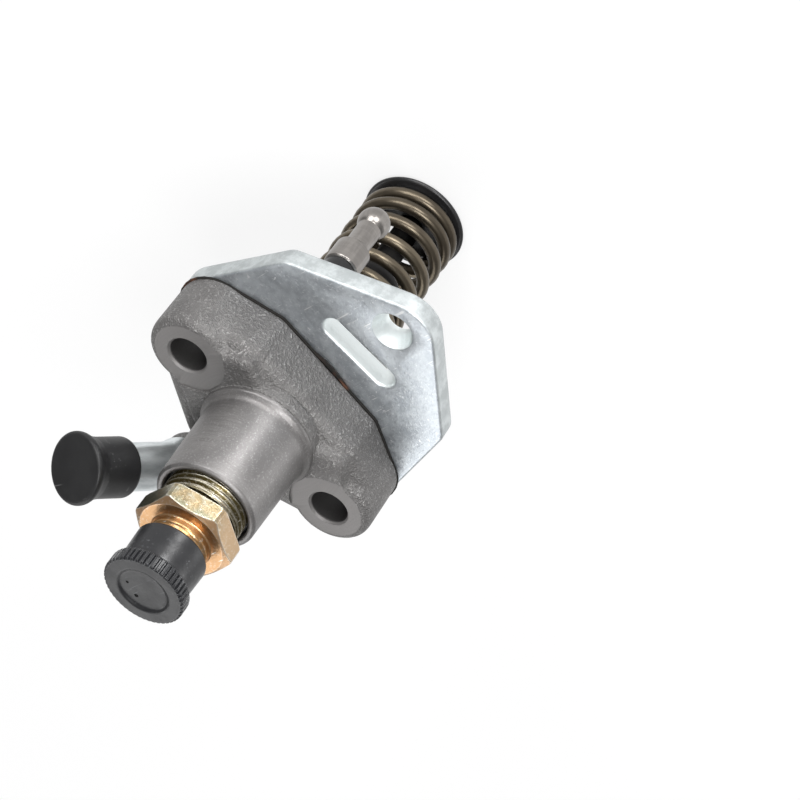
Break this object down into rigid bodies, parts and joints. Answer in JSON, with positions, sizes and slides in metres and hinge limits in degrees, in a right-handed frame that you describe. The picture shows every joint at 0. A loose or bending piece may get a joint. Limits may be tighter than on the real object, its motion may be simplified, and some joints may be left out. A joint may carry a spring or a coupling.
{
  "type": "fuel injection pump",
  "caption": "Flange-mounted plunger pump with turned neck, capped hexagon outlet, capped inlet pipe, ball-ended control arm and a coil spring over the plunger.",
  "frame": {"origin": "on the plunger axis in the back face of the mounting plate, midway between the two fixing holes", "axes": "+Z along the plunger axis towards the delivery outlet, +X along the line through the two fixing holes, +Y towards the plate's slot and third hole"},
  "size_m": [0.0626, 0.0687, 0.1223],
  "materials": {
    "casting": "shot-blasted sand casting, machined faces smoother",
    "plate_zinc": "bright bluish zinc plate",
    "gasket": "dark fibre with rusty specks",
    "ground_steel": "ground",
    "satin_steel": "satin turned",
    "black_steel": "blackened, satin",
    "spring_steel": "brown bronze oil-tempered wire",
    "copper": "soft copper",
    "yellow_zinc": "yellow passivated zinc, iridescent",
    "rubber": "matte",
    "cap_plastic": "satin black",
    "pipe_zinc": "bluish zinc",
    "cap_rubber": "satin black rubber"
  },
  "bodies": {
    "housing": {"pump_body": "casting", "flange_plate": "plate_zinc", "flange_gasket": "gasket", "plunger_barrel": "ground_steel", "barrel_ring": "rubber", "barrel_pin": "ground_steel", "upper_spring_seat": "black_steel", "plunger_spring": "spring_steel", "delivery_valve_seat": "ground_steel", "delivery_valve_spring": "spring_steel", "volume_reducer": "satin_steel", "sealing_washer": "copper", "delivery_valve_holder": "yellow_zinc", "holder_ring": "rubber", "inlet_pipe": "pipe_zinc"},
    "control": {"control_sleeve": "black_steel", "control_arm": "black_steel", "ball_pin": "satin_steel"},
    "plunger": {"plunger": "ground_steel", "lower_spring_seat": "black_steel"},
    "valve": {"delivery_valve": "ground_steel"},
    "outlet_cap": {"outlet_cap": "cap_plastic"},
    "inlet_cap": {"inlet_cap": "cap_rubber"}
  },
  "joints": [
    {"name": "control_turn", "type": "hinge", "parent": "housing", "child": "control", "pos_m": [0, 0, -0.01], "axis": [0, 0, 1], "range_deg": [-20, 20]},
    {"name": "plunger_stroke", "type": "slide", "parent": "control", "child": "plunger", "axis": [0, 0, 1], "range_m": [0, 0.008], "stiffness_N_per_m": 13500, "springref_m": -0.004, "deforming": ["plunger_spring"]},
    {"name": "valve_lift", "type": "slide", "parent": "housing", "child": "valve", "axis": [0, 0, 1], "range_m": [0, 0.0018], "stiffness_N_per_m": 5000, "springref_m": -0.004, "deforming": ["delivery_valve_spring"]},
    {"name": "outlet_cap_pull", "type": "slide", "parent": "housing", "child": "outlet_cap", "axis": [0, 0, 1], "range_m": [0, 0.016]},
    {"name": "inlet_cap_pull", "type": "slide", "parent": "housing", "child": "inlet_cap", "axis": [-0.6304, 0.1112, 0.7683], "range_m": [0, 0.014]}
  ]
}
